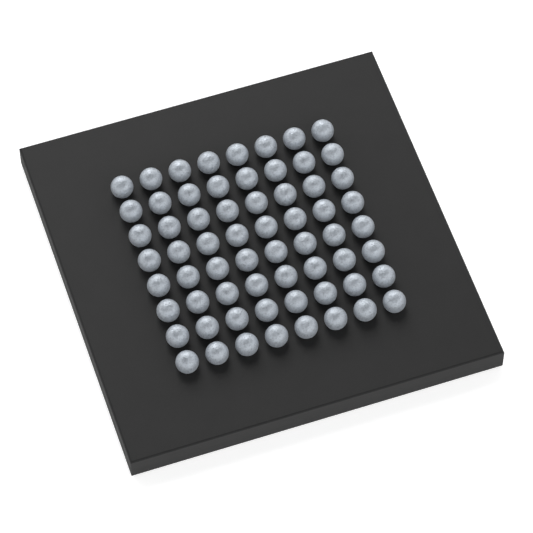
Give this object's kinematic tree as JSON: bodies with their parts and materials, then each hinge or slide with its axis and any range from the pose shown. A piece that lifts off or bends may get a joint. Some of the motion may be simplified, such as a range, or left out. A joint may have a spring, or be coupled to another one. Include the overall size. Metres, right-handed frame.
{
  "type": "microcontroller",
  "caption": "Square flat chip package in dark moulded epoxy with a square grid of solder balls on one face.",
  "frame": {"origin": "centre of the flat moulded face that the package lies on", "axes": "+Z out of the ball side, +X and +Y along the body's sides, with the first ball row at +Y"},
  "size_m": [0.01, 0.01, 0.0013],
  "materials": {
    "mould": "fine matt moulded epoxy",
    "solder_mask": "matt black solder mask",
    "laminate": "sawn black glass laminate",
    "solder": "satin tin alloy, melted and set",
    "copper": "plated copper",
    "gold": "drawn gold wire",
    "silicon": "polished silicon",
    "adhesive": "silver filled glue"
  },
  "bodies": {
    "root": {"mould_cap": "mould", "die": "silicon", "die_attach": "adhesive", "die_paddle": "copper", "die_side_mask": "solder_mask", "laminate_core": "laminate", "ball_side_mask": "solder_mask", "signal_vias": "copper", "thermal_vias": "copper", "signal_ball_pads": "copper", "ground_ball_pads": "copper", "bond_wires_back": "gold", "copper_traces_back": "copper", "bond_wires_left": "gold", "copper_traces_left": "copper", "bond_wires_front": "gold", "copper_traces_front": "copper", "bond_wires_right": "gold", "copper_traces_right": "copper", "solder_balls_row_a": "solder", "solder_balls_row_b": "solder", "solder_balls_row_c": "solder", "solder_balls_row_d": "solder", "solder_balls_row_e": "solder", "solder_balls_row_f": "solder", "solder_balls_row_g": "solder", "solder_balls_row_h": "solder"}
  },
  "joints": []
}
